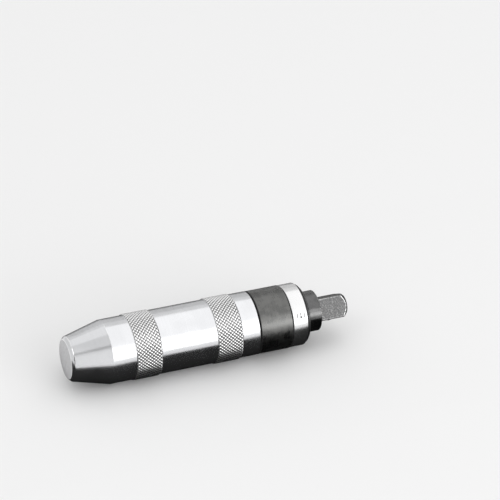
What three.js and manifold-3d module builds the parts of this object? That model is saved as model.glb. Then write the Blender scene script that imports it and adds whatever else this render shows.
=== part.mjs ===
// Hand impact driver with a square drive.
// A hammer blow on the tail pushes the grip body over the spindle. The spindle's cross pin rides in two
// V-shaped cam slots in the rear sleeve of the nose body, so the stroke turns the square drive, to the right
// or to the left by the arm of the V that is chosen. A spring pushes the spindle out again.
// All sizes are millimetres. The tool's axis is the X axis, +X toward the drive. Stations along it are
// counted from the front end of the grip body, where the dark nose body begins.
import * as THREE from "three";
import { mergeVertices } from "three/addons/utils/BufferGeometryUtils.js";
import Module from "manifold-3d";

const wasm = await Module();
wasm.setup();

// Clearances
const runGap = 0.25; // round a piece that turns or slides
const seatGap = 0.25; // round and behind a piece that sits still
const overrun = 1; // how far a cutter reaches past what it cuts
const weld = 0.0001; // vertices nearer than this are one

// Roundness of the turned pieces, in sides
const bodySides = 48;
const innerSides = 32;
const seamSides = 7;
const ballRings = 8;

// The square drive, 1/2 inch
const drive = {
  acrossFlats: 12.7,
  cornerRadius: 8.7,
  length: 18,
  endRadius: 5.3,
};

// The spindle: collar and shank are one cylinder, at rest with its tail in the grip body
const spindle = {
  radius: 11.5,
  collarReach: 8.55, // shows in front of the nose body at rest
  collarChamfer: 0.6,
  tailBehindPin: 18,
  tailChamfer: 1,
  sealGroove: 11, // from the cross pin forward to the middle of the O-ring
};

// Turn and stroke
const cam = {
  stroke: 8,
  turn: 20, // degrees over the stroke
  pocketTurn: 4, // degrees from the middle of the V to either rest place
  restTurn: 57.9, // degrees from straight up to the main face of the square
  pinRadius: 3.5,
  pinChamfer: 0.8,
  millStep: 0.8, // the cutter's step along the slot, at the sleeve's outside
};

// Nose body, from its rear sleeve to its front end
const nose = {
  sleeveWall: 2.75,
  sleeveBehindPin: 16,
  pinBehindShoulder: 20,
  threadStep: 1.4,
  threadLength: 12.4,
  coverLength: 19.2,
  coverStep: 0.2, // the dark sleeve stands this much above the silver ring
  wallAtBush: 2.4,
  snapDepth: 0.8,
  frontLand: 0.7,
  chamfer: 0.4,
};

const ring = { length: 8.7, wall: 1.65, chamfer: 0.3 };
const snap = { thickness: 1, width: 1.45, mouthTurn: 24 };
const bush = { wall: 1.4, length: 7.75, chamfer: 0.4 };
const wiper = { length: 3.3, lip: 0.6, dish: 0.9, inset: 0.4 };
const dowel = { radius: 1, turn: 96, sink: 0.2, floor: 0.85 };

// Grip body, from the striking face to the front
const grip = {
  tailLength: 22,
  rearLandLength: 13.2,
  knurlLength: 15,
  middleLandLength: 32.4,
  frontLandLength: 10.4,
  mouthWall: 1.85,
  knurlRise: 0.5,
  knurlChamfer: 0.4,
  edgeChamfer: 0.5,
  tailTaper: 5.3, // how much the radius falls along the tail
  strikingChamfer: 1.6,
  solidTail: 24, // from the striking face to the bottom of the bore
};

// The spring and what it works between
const mainSpring = { wire: 2.6, turns: 8, endTurns: 1, endGap: 0.6, stepsPerTurn: 14, sides: 6 };
const cap = { flange: 3.5, tailGap: 3 };
const springSeat = { thickness: 3 };
const stub = { length: 3.5, chamfer: 0.8 };
const thrustBallRadius = 4;

// O-rings
const spindleORing = { section: 2 };
const jointORing = { section: 1.6, fromShoulder: 0.8 };

// The detent in the drive's lower front face
const detent = {
  ballRadius: 2.5,
  rise: 0.9,
  fromCollar: 7.4,
  lip: 0.3,
  lipGap: 0.16,
  depth: 9.8,
};
const detentSpring = { wire: 0.6, turns: 4.6, endTurns: 0.8, endGap: 0.45, stepsPerTurn: 10, sides: 5 };

// Radii that follow from the spindle outward
const boreRadius = spindle.radius + runGap;
const sleeveRadius = boreRadius + nose.sleeveWall;
const gripBore = sleeveRadius + seatGap;
const threadRadius = sleeveRadius + nose.threadStep;
const mouthRadius = threadRadius + seatGap;
const landRadius = mouthRadius + grip.mouthWall;
const knurlRadius = landRadius + grip.knurlRise;
const bushRadius = boreRadius + bush.wall;
const bushSeat = bushRadius + seatGap;
const ringSeat = bushSeat + nose.wallAtBush;
const ringInner = ringSeat + seatGap;
const ringRadius = ringInner + ring.wall;
const coverRadius = ringRadius + nose.coverStep;
const snapFloor = ringSeat - nose.snapDepth;

// Stations from the grip body's front end forward
const coverStart = seatGap;
const coverEnd = coverStart + nose.coverLength;
const ringStart = coverEnd + seatGap;
const ringEnd = ringStart + ring.length;
const snapStart = ringEnd + seatGap;
const snapEnd = snapStart + snap.thickness;
const snapGrooveEnd = snapEnd + seatGap;
const noseEnd = snapGrooveEnd + nose.frontLand;
const wiperEnd = noseEnd - wiper.inset;
const wiperStart = wiperEnd - wiper.length;
const bushEnd = wiperStart - seatGap;
const bushStart = bushEnd - bush.length;
const bushShoulder = bushStart - seatGap;
const collarEnd = noseEnd + spindle.collarReach;
const driveEnd = collarEnd + drive.length;

// Stations from the grip body's front end backward
const pinStation = -nose.pinBehindShoulder;
const sleeveEnd = pinStation - nose.sleeveBehindPin;
const spindleTail = pinStation - spindle.tailBehindPin;
const capFront = spindleTail - cap.tailGap;
const capShoulder = capFront - cap.flange;
const frontLandRear = -grip.frontLandLength;
const frontKnurlRear = frontLandRear - grip.knurlLength;
const middleLandRear = frontKnurlRear - grip.middleLandLength;
const rearKnurlRear = middleLandRear - grip.knurlLength;
const rearLandRear = rearKnurlRear - grip.rearLandLength;
const strikingFace = rearLandRear - grip.tailLength;
const boreEnd = strikingFace + grip.solidTail;
const seatFront = boreEnd + seatGap + springSeat.thickness;
const springRadius = gripBore - runGap - mainSpring.wire; // to the middle of the wire
const stubRadius = springRadius - mainSpring.wire / 2 - seatGap;

// Boolean helpers: a closed mesh becomes a solid, and a solid becomes a mesh again
function solidOf(geometry) {
  const bare = geometry.index ? geometry.toNonIndexed() : geometry.clone();
  for (const name of Object.keys(bare.attributes)) {
    if (name !== "position") bare.deleteAttribute(name);
  }
  const merged = mergeVertices(bare, weld);
  return new wasm.Manifold(
    new wasm.Mesh({
      numProp: 3,
      vertProperties: merged.attributes.position.array,
      triVerts: new Uint32Array(merged.index.array),
    }),
  );
}

function geometryOf(solid) {
  const mesh = solid.getMesh();
  const geometry = new THREE.BufferGeometry();
  geometry.setAttribute("position", new THREE.BufferAttribute(mesh.vertProperties, 3));
  geometry.setIndex(new THREE.BufferAttribute(mesh.triVerts, 1));
  geometry.computeVertexNormals();
  return geometry;
}

// Turns an outline of [station, radius] pairs about the tool's axis
function turned(outline, sides = bodySides) {
  const points = outline.map(([station, radius]) => new THREE.Vector2(radius, station));
  return new THREE.LatheGeometry(points, sides).rotateZ(-Math.PI / 2);
}

// The same outline as a closed loop, for a piece with a bore
function turnedRing(outline, sides = bodySides) {
  return turned([...outline, outline[0]], sides);
}

// Points of an arc about (station, radius), angles in degrees from the +station direction
function arc(station, radius, size, from, to, steps) {
  return Array.from({ length: steps + 1 }, (_, i) => {
    const angle = THREE.MathUtils.degToRad(from + ((to - from) * i) / steps);
    return [station + size * Math.cos(angle), radius + size * Math.sin(angle)];
  });
}

// A round bar that stands out from the axis between two radii, at a station and a turn from straight up
function radialBar(barRadius, from, to, station, turn, sides = innerSides) {
  return new THREE.CylinderGeometry(barRadius, barRadius, to - from, sides)
    .rotateX(Math.PI / 2)
    .translate(station, 0, (from + to) / 2)
    .rotateX(THREE.MathUtils.degToRad(turn));
}

function oRing(station, section, middleRadius) {
  return turnedRing(arc(station, middleRadius, section / 2, 360, 0, seamSides).slice(0, -1), innerSides);
}

// Wire of a compression spring that winds about the X axis, its end turns close together
class SpringWire extends THREE.Curve {
  constructor(spring, start, end, radius) {
    super();
    this.turns = spring.turns;
    this.endTurns = spring.endTurns;
    this.endPitch = spring.wire + spring.endGap;
    this.first = start + spring.wire / 2;
    this.rise = end - start - spring.wire;
    this.radius = radius;
    const openTurns = spring.turns - 2 * spring.endTurns;
    this.pitch = (this.rise - 2 * spring.endTurns * this.endPitch) / openTurns;
  }

  stationAt(turn) {
    const closed = Math.min(turn, this.endTurns) + Math.max(turn - this.turns + this.endTurns, 0);
    return this.first + closed * this.endPitch + (turn - closed) * this.pitch;
  }

  getPoint(t, target = new THREE.Vector3()) {
    const turn = t * this.turns;
    const angle = 2 * Math.PI * turn;
    return target.set(this.stationAt(turn), this.radius * Math.cos(angle), this.radius * Math.sin(angle));
  }
}

// The least gap between neighbouring turns, measured on points of the wire's middle line
function leastGap(wire, spring) {
  const count = spring.turns * spring.stepsPerTurn;
  const points = Array.from({ length: count + 1 }, (_, i) => wire.getPoint(i / count));
  const halfTurn = spring.stepsPerTurn / 2;
  let least = Infinity;
  points.forEach((point, i) => {
    for (let k = i + halfTurn; k <= count; k += 1) least = Math.min(least, point.distanceTo(points[k]));
  });
  return least - spring.wire;
}

function coil(name, spring, start, end, radius) {
  const wire = new SpringWire(spring, start, end, radius);
  console.log(`${name}: least gap between its turns ${leastGap(wire, spring).toFixed(2)} mm`);
  const corners = Array.from({ length: spring.sides }, (_, i) => {
    const angle = (2 * Math.PI * i) / spring.sides;
    return new THREE.Vector2(Math.cos(angle), Math.sin(angle)).multiplyScalar(spring.wire / 2);
  });
  return new THREE.ExtrudeGeometry(new THREE.Shape(corners), {
    extrudePath: wire,
    steps: spring.turns * spring.stepsPerTurn,
  });
}

// Finishes
function finish(color, roughness, metalness) {
  return new THREE.MeshStandardMaterial({ color, roughness, metalness });
}
const satinSteel = finish(0xd9d9d9, 0.28, 1);
const blackOxide = finish(0x3a3a3a, 0.4, 0.8);
const forgedBlack = finish(0x2b2b2c, 0.25, 0.8);
const bareSteel = finish(0xb8b8ba, 0.3, 1);
const springSteel = finish(0x7d8084, 0.35, 1);
const bronze = finish(0xb08a4a, 0.4, 1);
const rubber = finish(0x1c1c1c, 0.8, 0);

// Grip body: tapered tail, two raised bands for the knurl, and a bore from the front
function gripBody() {
  const tailRadius = landRadius - grip.tailTaper;
  const band = (rear, front) => [
    [rear, landRadius],
    [rear + grip.knurlChamfer, knurlRadius],
    [front - grip.knurlChamfer, knurlRadius],
    [front, landRadius],
  ];
  return turned([
    [strikingFace, 0],
    [strikingFace, tailRadius - grip.strikingChamfer],
    [strikingFace + grip.strikingChamfer, tailRadius],
    [rearLandRear, landRadius],
    ...band(rearKnurlRear, middleLandRear),
    ...band(frontKnurlRear, frontLandRear),
    [-grip.edgeChamfer, landRadius],
    [0, landRadius - grip.edgeChamfer],
    [0, mouthRadius],
    [-nose.threadLength - seatGap, mouthRadius],
    [-nose.threadLength - seatGap, gripBore],
    [boreEnd, gripBore],
    [boreEnd, 0],
  ]);
}

// The V-shaped cam slots, cut by an end mill of the slot's width at small steps along both arms
function camSlots() {
  const millRadius = cam.pinRadius + runGap;
  const mill = (travel, turn) =>
    solidOf(radialBar(millRadius, boreRadius - overrun, sleeveRadius + overrun, pinStation - travel, turn));
  const sweep = THREE.MathUtils.degToRad(cam.turn) * sleeveRadius;
  const steps = Math.ceil(Math.hypot(cam.stroke, sweep) / cam.millStep);
  const cuts = [];
  for (const side of [0, 180]) {
    const middle = cam.restTurn - cam.pocketTurn + side;
    cuts.push(mill(0, middle));
    for (const hand of [-1, 1]) {
      for (let i = 0; i <= steps; i += 1) {
        const share = i / steps;
        cuts.push(mill(cam.stroke * share, middle + hand * (cam.pocketTurn + cam.turn * share)));
      }
    }
  }
  return cuts.reduce((all, cut) => all.add(cut));
}

// Nose body: slotted sleeve, threaded joint, dark cover length, seat of the silver ring, snap ring groove
function noseBody() {
  const grooveRear = coverStart - jointORing.fromShoulder - jointORing.section - seatGap;
  const grooveFront = coverStart - jointORing.fromShoulder;
  const grooveFloor = mouthRadius - jointORing.section - 2 * seatGap;
  const blank = solidOf(
    turnedRing([
      [sleeveEnd, boreRadius],
      [sleeveEnd, sleeveRadius - nose.chamfer],
      [sleeveEnd + nose.chamfer, sleeveRadius],
      [-nose.threadLength, sleeveRadius],
      [-nose.threadLength, threadRadius - nose.chamfer],
      [-nose.threadLength + nose.chamfer, threadRadius],
      [grooveRear, threadRadius],
      [grooveRear, grooveFloor],
      [grooveFront, grooveFloor],
      [grooveFront, threadRadius],
      [coverStart, threadRadius],
      [coverStart, coverRadius - nose.chamfer],
      [coverStart + nose.chamfer, coverRadius],
      [coverEnd - nose.chamfer, coverRadius],
      [coverEnd, coverRadius - nose.chamfer],
      [coverEnd, ringSeat],
      [ringEnd, ringSeat],
      [ringEnd, snapFloor],
      [snapGrooveEnd, snapFloor],
      [snapGrooveEnd, ringSeat],
      [noseEnd - nose.chamfer, ringSeat],
      [noseEnd, ringSeat - nose.chamfer],
      [noseEnd, bushSeat],
      [bushShoulder, bushSeat],
      [bushShoulder, boreRadius],
    ]),
  );
  return geometryOf(blank.subtract(camSlots()).subtract(dowelHole()));
}

// The dowel's place in the silver ring and the nose body
const dowelStation = (ringStart + ringEnd) / 2;
const dowelTop = ringRadius - dowel.sink;
const dowelFoot = bushSeat + dowel.floor + seatGap;
const dowelSides = innerSides / 2;

function dowelHole() {
  const from = dowelFoot - seatGap;
  const to = ringRadius + overrun;
  return solidOf(radialBar(dowel.radius + seatGap, from, to, dowelStation, dowel.turn, dowelSides));
}

function ringDowel() {
  return radialBar(dowel.radius, dowelFoot, dowelTop, dowelStation, dowel.turn, dowelSides);
}

function indicatorRing() {
  const blank = solidOf(
    turnedRing([
      [ringStart, ringInner],
      [ringStart, ringRadius - ring.chamfer],
      [ringStart + ring.chamfer, ringRadius],
      [ringEnd - ring.chamfer, ringRadius],
      [ringEnd, ringRadius - ring.chamfer],
      [ringEnd, ringInner],
    ]),
  );
  return geometryOf(blank.subtract(dowelHole()));
}

// Snap ring: a flat ring with a mouth, so that it springs into its groove
function retainingRing() {
  const inner = snapFloor + seatGap;
  const outer = inner + snap.width;
  const from = THREE.MathUtils.degToRad(snap.mouthTurn / 2);
  const outline = new THREE.Shape();
  outline.absarc(0, 0, outer, from, 2 * Math.PI - from, false);
  outline.absarc(0, 0, inner, 2 * Math.PI - from, from, true);
  return new THREE.ExtrudeGeometry(outline, {
    depth: snap.thickness,
    bevelEnabled: false,
    curveSegments: bodySides,
  })
    .rotateY(Math.PI / 2)
    .translate(snapStart, 0, 0);
}

function noseBush() {
  return turnedRing(
    [
      [bushStart, boreRadius + bush.chamfer],
      [bushStart, bushRadius - bush.chamfer],
      [bushStart + bush.chamfer, bushRadius],
      [bushEnd, bushRadius],
      [bushEnd, boreRadius],
      [bushStart + bush.chamfer, boreRadius],
    ],
    bodySides,
  );
}

// Wiper: a rubber ring whose dished front face leaves a lip round the spindle
function wiperSeal() {
  return turnedRing([
    [wiperStart, boreRadius],
    [wiperStart, bushRadius],
    [wiperEnd, bushRadius],
    [wiperEnd - wiper.dish, boreRadius + wiper.lip],
    [wiperEnd, boreRadius],
  ]);
}

// Spindle: shank and collar, the cross pin's hole, the O-ring groove, the ball seat, and the square with
// the detent's hole
function driveSpindle() {
  const grooveStation = pinStation + spindle.sealGroove;
  const grooveHalf = spindleORing.section / 2 + seatGap;
  const grooveFloor = spindle.radius - spindleORing.section - seatGap;
  const pocketRadius = thrustBallRadius + seatGap;
  const pocketMouth = Math.acos((spindleTail - ballStation) / pocketRadius);
  const shank = turned([
    ...arc(ballStation, 0, pocketRadius, 0, THREE.MathUtils.radToDeg(pocketMouth), ballRings / 2),
    [spindleTail, spindle.radius - spindle.tailChamfer],
    [spindleTail + spindle.tailChamfer, spindle.radius],
    [grooveStation - grooveHalf, spindle.radius],
    [grooveStation - grooveHalf, grooveFloor],
    [grooveStation + grooveHalf, grooveFloor],
    [grooveStation + grooveHalf, spindle.radius],
    [collarEnd - spindle.collarChamfer, spindle.radius],
    [collarEnd, spindle.radius - spindle.collarChamfer],
    [collarEnd, 0],
  ]);
  const endChamfer = drive.cornerRadius - drive.endRadius;
  const root = collarEnd - overrun;
  const turnedDrive = turned([
    [root, 0],
    [root, drive.cornerRadius],
    [driveEnd - endChamfer, drive.cornerRadius],
    [driveEnd, drive.endRadius],
    [driveEnd, 0],
  ]);
  const bar = new THREE.BoxGeometry(2 * (drive.length + overrun), drive.acrossFlats, drive.acrossFlats);
  bar.translate(collarEnd, 0, 0);
  const square = solidOf(turnedDrive).intersect(solidOf(bar));
  const pinHole = radialBar(cam.pinRadius + seatGap, -sleeveRadius, sleeveRadius, pinStation, 0);
  const machined = solidOf(shank).add(square).subtract(solidOf(pinHole)).subtract(detentHole());
  return geometryOf(machined).rotateX(THREE.MathUtils.degToRad(cam.restTurn));
}

// The thrust ball sits half in the spindle's tail and half in the spring cap
const ballStation = (spindleTail + capFront) / 2;

function springCap() {
  const pocketRadius = thrustBallRadius + seatGap;
  const pocketMouth = Math.acos((capFront - ballStation) / pocketRadius);
  const capEdge = gripBore - runGap;
  const stubEnd = capShoulder - stub.length;
  return turned(
    [
      [stubEnd, 0],
      [stubEnd, stubRadius - stub.chamfer],
      [stubEnd + stub.chamfer, stubRadius],
      [capShoulder, stubRadius],
      [capShoulder, capEdge],
      [capFront - stub.chamfer, capEdge],
      [capFront, capEdge - stub.chamfer],
      ...arc(ballStation, 0, pocketRadius, THREE.MathUtils.radToDeg(pocketMouth), 180, ballRings / 2),
    ],
    innerSides,
  );
}

function springSeatPad() {
  const edge = gripBore - seatGap;
  const stubEnd = seatFront + stub.length;
  return turned(
    [
      [boreEnd + seatGap, 0],
      [boreEnd + seatGap, edge - stub.chamfer],
      [boreEnd + seatGap + stub.chamfer, edge],
      [seatFront, edge],
      [seatFront, stubRadius],
      [stubEnd - stub.chamfer, stubRadius],
      [stubEnd, stubRadius - stub.chamfer],
      [stubEnd, 0],
    ],
    innerSides,
  );
}

// Cross pin with chamfered ends, in the turn of the spindle
function crossPin() {
  const half = sleeveRadius - seatGap;
  return turned(
    [
      [-half, 0],
      [-half, cam.pinRadius - cam.pinChamfer],
      [-half + cam.pinChamfer, cam.pinRadius],
      [half - cam.pinChamfer, cam.pinRadius],
      [half, cam.pinRadius - cam.pinChamfer],
      [half, 0],
    ],
    innerSides,
  )
    .rotateY(-Math.PI / 2)
    .translate(pinStation, 0, 0)
    .rotateX(THREE.MathUtils.degToRad(cam.restTurn));
}

// Detent: everything is measured out from the axis, on the face a quarter turn below the main one
const faceRadius = drive.acrossFlats / 2;
const detentStation = collarEnd + detent.fromCollar;
const detentBallAt = faceRadius + detent.rise - detent.ballRadius;
const detentTurn = 90;
const detentFloor = faceRadius - detent.depth;

function detentHole() {
  const lipDepth = detent.lip;
  const heightAtLip = faceRadius - lipDepth - detentBallAt;
  const mouth = Math.sqrt(detent.ballRadius ** 2 - heightAtLip ** 2) + detent.lipGap;
  const well = detent.ballRadius + runGap;
  const lower = radialBar(well, detentFloor, faceRadius - lipDepth, detentStation, detentTurn);
  const upper = radialBar(mouth, detentFloor, faceRadius + overrun, detentStation, detentTurn);
  return solidOf(lower).add(solidOf(upper));
}

function atDetent(geometry) {
  return geometry.rotateX(THREE.MathUtils.degToRad(cam.restTurn + detentTurn));
}

function detentBall() {
  const ball = new THREE.SphereGeometry(detent.ballRadius, innerSides / 2, ballRings);
  return atDetent(ball.rotateX(Math.PI / 2).translate(detentStation, 0, detentBallAt));
}

function detentCoil() {
  const start = detentFloor + seatGap;
  const radius = detent.ballRadius - seatGap - detentSpring.wire / 2;
  const underBall = detentBallAt - Math.sqrt(detent.ballRadius ** 2 - (radius - detentSpring.wire / 2) ** 2);
  const wire = coil("detent spring", detentSpring, start, underBall - seatGap, radius);
  return atDetent(wire.rotateY(-Math.PI / 2).translate(detentStation, 0, 0));
}

function mainCoil() {
  return coil("main spring", mainSpring, seatFront + seatGap, capShoulder - seatGap, springRadius);
}

function thrustBall() {
  return new THREE.SphereGeometry(thrustBallRadius, innerSides / 2, ballRings)
    .rotateZ(Math.PI / 2)
    .translate(ballStation, 0, 0);
}

function spindleSeal() {
  const middle = spindle.radius - spindleORing.section / 2;
  return oRing(pinStation + spindle.sealGroove, spindleORing.section, middle);
}

function jointSeal() {
  const middle = mouthRadius - seatGap - jointORing.section / 2;
  const station = coverStart - jointORing.fromShoulder - (jointORing.section + seatGap) / 2;
  return oRing(station, jointORing.section, middle);
}

// The tool lies on its knurled bands: the origin is on the ground under the middle of its length
const tool = new THREE.Group();
tool.position.set(-(strikingFace + driveEnd) / 2, 0, knurlRadius);

function place(name, geometry, material) {
  const mesh = new THREE.Mesh(geometry, material);
  mesh.name = name;
  tool.add(mesh);
}

place("grip_body", gripBody(), satinSteel);
place("nose_body", noseBody(), blackOxide);
place("joint_seal", jointSeal(), rubber);
place("indicator_ring", indicatorRing(), satinSteel);
place("ring_dowel", ringDowel(), bareSteel);
place("retaining_ring", retainingRing(), blackOxide);
place("nose_bush", noseBush(), bronze);
place("wiper_seal", wiperSeal(), rubber);
place("drive_spindle", driveSpindle(), forgedBlack);
place("cross_pin", crossPin(), bareSteel);
place("spindle_o_ring", spindleSeal(), rubber);
place("thrust_ball", thrustBall(), bareSteel);
place("spring_cap", springCap(), bareSteel);
place("main_spring", mainCoil(), springSteel);
place("spring_seat", springSeatPad(), bareSteel);
place("detent_ball", detentBall(), bareSteel);
place("detent_spring", detentCoil(), springSteel);

export default tool;
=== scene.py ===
import math

import bmesh
import bpy
from mathutils import Matrix, Quaternion, Vector


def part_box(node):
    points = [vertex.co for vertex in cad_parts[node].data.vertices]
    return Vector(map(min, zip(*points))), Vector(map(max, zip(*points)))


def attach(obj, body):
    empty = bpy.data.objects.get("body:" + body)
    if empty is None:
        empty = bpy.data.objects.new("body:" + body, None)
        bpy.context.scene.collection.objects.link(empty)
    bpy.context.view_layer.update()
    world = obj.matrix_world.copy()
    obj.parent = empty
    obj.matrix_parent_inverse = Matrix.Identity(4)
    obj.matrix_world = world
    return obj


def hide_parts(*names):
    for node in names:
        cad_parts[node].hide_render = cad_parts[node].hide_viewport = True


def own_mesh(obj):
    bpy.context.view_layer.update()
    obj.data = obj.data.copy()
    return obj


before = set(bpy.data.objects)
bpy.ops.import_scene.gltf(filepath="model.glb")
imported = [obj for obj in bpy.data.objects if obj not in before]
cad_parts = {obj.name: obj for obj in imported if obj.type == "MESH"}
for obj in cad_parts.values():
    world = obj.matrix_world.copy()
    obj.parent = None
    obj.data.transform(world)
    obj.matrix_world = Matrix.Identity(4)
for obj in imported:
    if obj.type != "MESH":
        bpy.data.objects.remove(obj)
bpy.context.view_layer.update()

# Hand impact driver, dressed for a studio picture. Lengths below are written in millimetres times mm.
# Stations run along the tool from the front end of the grip body, turns count from straight up about +X.
mm = 0.001
gripLow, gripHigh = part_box("grip_body")
axisHeight = (gripLow.z + gripHigh.z) / 2
zeroStation = gripHigh.x
fullTurn = 2 * math.pi
quarterTurn = math.pi / 2
bodySteps = 216      # sides of the turned pieces that show
smallSteps = 96      # sides of the pieces inside
ballSteps = 48
cornerSteps = 3      # faces across a rounded corner
sharpAngle = math.radians(32)
mergeDistance = 2e-6


def stationOf(x):
    return x - zeroStation


def stationsOf(node):
    low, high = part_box(node)
    return stationOf(low.x), stationOf(high.x)


def midStation(node):
    low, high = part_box(node)
    return stationOf((low.x + high.x) / 2)


def middleOf(node):
    low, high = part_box(node)
    return (low + high) / 2


def lengthOf(node):
    low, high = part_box(node)
    return high.x - low.x


def outerRadius(node):
    low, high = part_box(node)
    return (high.z - low.z) / 2


def placeAt(station, radius, turn=0.0):
    return Vector((
        zeroStation + station, -radius * math.sin(turn), axisHeight + radius * math.cos(turn)))


def outwardAt(turn):
    return placeAt(0, 1, turn) - placeAt(0, 0)


def turnOf(point):
    return math.atan2(-point.y, point.z - axisHeight)


def radiusOf(point):
    return math.hypot(point.y, point.z - axisHeight)


def meshFrom(name, bm):
    mesh = bpy.data.meshes.new(name)
    bm.to_mesh(mesh)
    bm.free()
    return mesh


def addObject(name, data):
    added = bpy.data.objects.new(name, data)
    bpy.context.scene.collection.objects.link(added)
    return added


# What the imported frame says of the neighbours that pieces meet
ringRear, ringFront = stationsOf("indicator_ring")
snapRear, snapFront = stationsOf("retaining_ring")
bushRear, bushFront = stationsOf("nose_bush")
bushOuter = outerRadius("nose_bush")
ballTurn = turnOf(middleOf("detent_ball"))
driveTurn = ballTurn - quarterTurn   # the square's main face

# Camera, at the photograph's angle
shot = {
    "aim": Vector((52.09, 67.13, 18.5)) * mm,
    "distance": 1721.1 * mm,
    "azimuth": math.radians(-22.942),
    "elevation": math.radians(34.232),
    "roll": math.radians(2.632),
    "lens": 214.56,
    "sensor": 36,
    "clip": 100 * mm,
}


def makeCamera():
    azimuth, elevation = shot["azimuth"], shot["elevation"]
    flat = math.cos(elevation)
    back = Vector((math.sin(azimuth) * flat, -math.cos(azimuth) * flat, math.sin(elevation)))
    data = bpy.data.cameras.new("shotCamera")
    data.lens = shot["lens"]
    data.sensor_width = shot["sensor"]
    data.clip_start = shot["clip"]
    camera = addObject("shotCamera", data)
    camera.location = shot["aim"] + back * shot["distance"]
    camera.rotation_mode = "QUATERNION"
    level = (-back).to_track_quat("-Z", "Y")
    camera.rotation_quaternion = level @ Quaternion((0, 0, 1), shot["roll"])
    bpy.context.scene.camera = camera


makeCamera()
print("camera is set")


# Node helpers: settings go to the node, values to its sockets, and a socket given as a value is linked
def setInput(tree, target, value):
    if isinstance(value, bpy.types.NodeSocket):
        tree.links.new(value, target)
    else:
        target.default_value = value


def addNode(tree, kind, values=None, **settings):
    node = tree.nodes.new(kind)
    for name, setting in settings.items():
        setattr(node, name, setting)
    for name, value in (values or {}).items():
        setInput(tree, node.inputs[name], value)
    return node


def mathNode(tree, operation, first, second=0.0, third=0.0):
    values = {0: first, 1: second, 2: third}
    return addNode(tree, "ShaderNodeMath", values, operation=operation).outputs[0]


def rangeNode(tree, value, fromMin, fromMax, toMin, toMax, interpolation="LINEAR"):
    values = {
        "Value": value, "From Min": fromMin, "From Max": fromMax, "To Min": toMin, "To Max": toMax}
    node = addNode(tree, "ShaderNodeMapRange", values, interpolation_type=interpolation, clamp=True)
    return node.outputs["Result"]


def noiseNode(tree, place, scale, noise):
    values = {
        "Vector": place, "Scale": scale, "Detail": noise["detail"], "Roughness": noise["roughness"]}
    return addNode(tree, "ShaderNodeTexNoise", values).outputs["Fac"]


# A noise between its two levels becomes a mask that runs from least to 1
def maskNode(tree, value, noise, least=0.0):
    return rangeNode(tree, value, noise["from"], noise["to"], least, 1.0, "SMOOTHSTEP")


def mixColours(tree, factor, first, second):
    node = addNode(tree, "ShaderNodeMix", data_type="RGBA")
    for socket, value in (("Factor_Float", factor), ("A_Color", first), ("B_Color", second)):
        setInput(tree, next(s for s in node.inputs if s.identifier == socket), value)
    return next(s for s in node.outputs if s.identifier == "Result_Color")


def grey(level):
    return (level, level, level, 1.0)


# A group's sockets are plain numbers, apart from the place, Vector
def newGroup(name, inputs, outputs):
    tree = bpy.data.node_groups.new(name, "ShaderNodeTree")
    for way, sockets in (("INPUT", inputs), ("OUTPUT", outputs)):
        for socket in sockets:
            kind = "NodeSocketVector" if socket == "Vector" else "NodeSocketFloat"
            tree.interface.new_socket(name=socket, in_out=way, socket_type=kind)
    given = tree.nodes.new("NodeGroupInput").outputs
    return tree, given, tree.nodes.new("NodeGroupOutput").inputs


lineNoise = {"detail": 3.0, "roughness": 0.6}
fleckNoise = {"detail": 4.0, "roughness": 0.7, "from": 0.46, "to": 0.66}
cloudNoise = {"detail": 2.0, "roughness": 0.5, "from": 0.35, "to": 0.65}
wearNoise = {"detail": 3.0, "roughness": 0.65, "from": 0.38, "to": 0.56, "least": 0.1}


# Turned lines: fine rings left by the lathe tool, round on a cylinder and on an end face alike
def makeTurnedLines():
    tree, given, out = newGroup("turnedLines", ("Vector", "Density", "Drift"), ("Lines", "Radius"))
    parts = addNode(tree, "ShaderNodeSeparateXYZ", {"Vector": given["Vector"]}).outputs
    square = mathNode(tree, "MULTIPLY", parts["Y"], parts["Y"])
    radius = mathNode(tree, "SQRT", mathNode(tree, "MULTIPLY_ADD", parts["Z"], parts["Z"], square))
    sideways = mathNode(tree, "ADD", parts["Y"], parts["Z"])
    across = mathNode(tree, "MULTIPLY", sideways, given["Drift"])
    along = mathNode(tree, "MULTIPLY", parts["X"], given["Density"])
    outward = mathNode(tree, "MULTIPLY", radius, given["Density"])
    where = addNode(tree, "ShaderNodeCombineXYZ", {"X": along, "Y": outward, "Z": across})
    lines = noiseNode(tree, where.outputs["Vector"], 1.0, lineNoise)
    tree.links.new(lines, out["Lines"])
    tree.links.new(radius, out["Radius"])
    return tree


# Speckle: small bright or dark flecks with soft clouds between them
def makeSpeckle():
    tree, given, out = newGroup(
        "speckle", ("Vector", "Fleck", "Cloud"), ("Flecks", "Clouds", "Height"))
    fine = noiseNode(tree, given["Vector"], given["Fleck"], fleckNoise)
    soft = noiseNode(tree, given["Vector"], given["Cloud"], cloudNoise)
    tree.links.new(maskNode(tree, fine, fleckNoise), out["Flecks"])
    tree.links.new(maskNode(tree, soft, cloudNoise), out["Clouds"])
    tree.links.new(fine, out["Height"])
    return tree


# Edge wear: the piece's own edge mark, broken up by a noise
def makeEdgeWear():
    tree, given, out = newGroup("edgeWear", ("Vector", "Edge", "Grain", "Amount"), ("Wear",))
    noise = noiseNode(tree, given["Vector"], given["Grain"], wearNoise)
    broken = maskNode(tree, noise, wearNoise, wearNoise["least"])
    worn = mathNode(tree, "MULTIPLY", given["Edge"], given["Amount"])
    tree.links.new(mathNode(tree, "MULTIPLY", broken, worn), out["Wear"])
    return tree


turnedLines = makeTurnedLines()
speckle = makeSpeckle()
edgeWear = makeEdgeWear()


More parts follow.
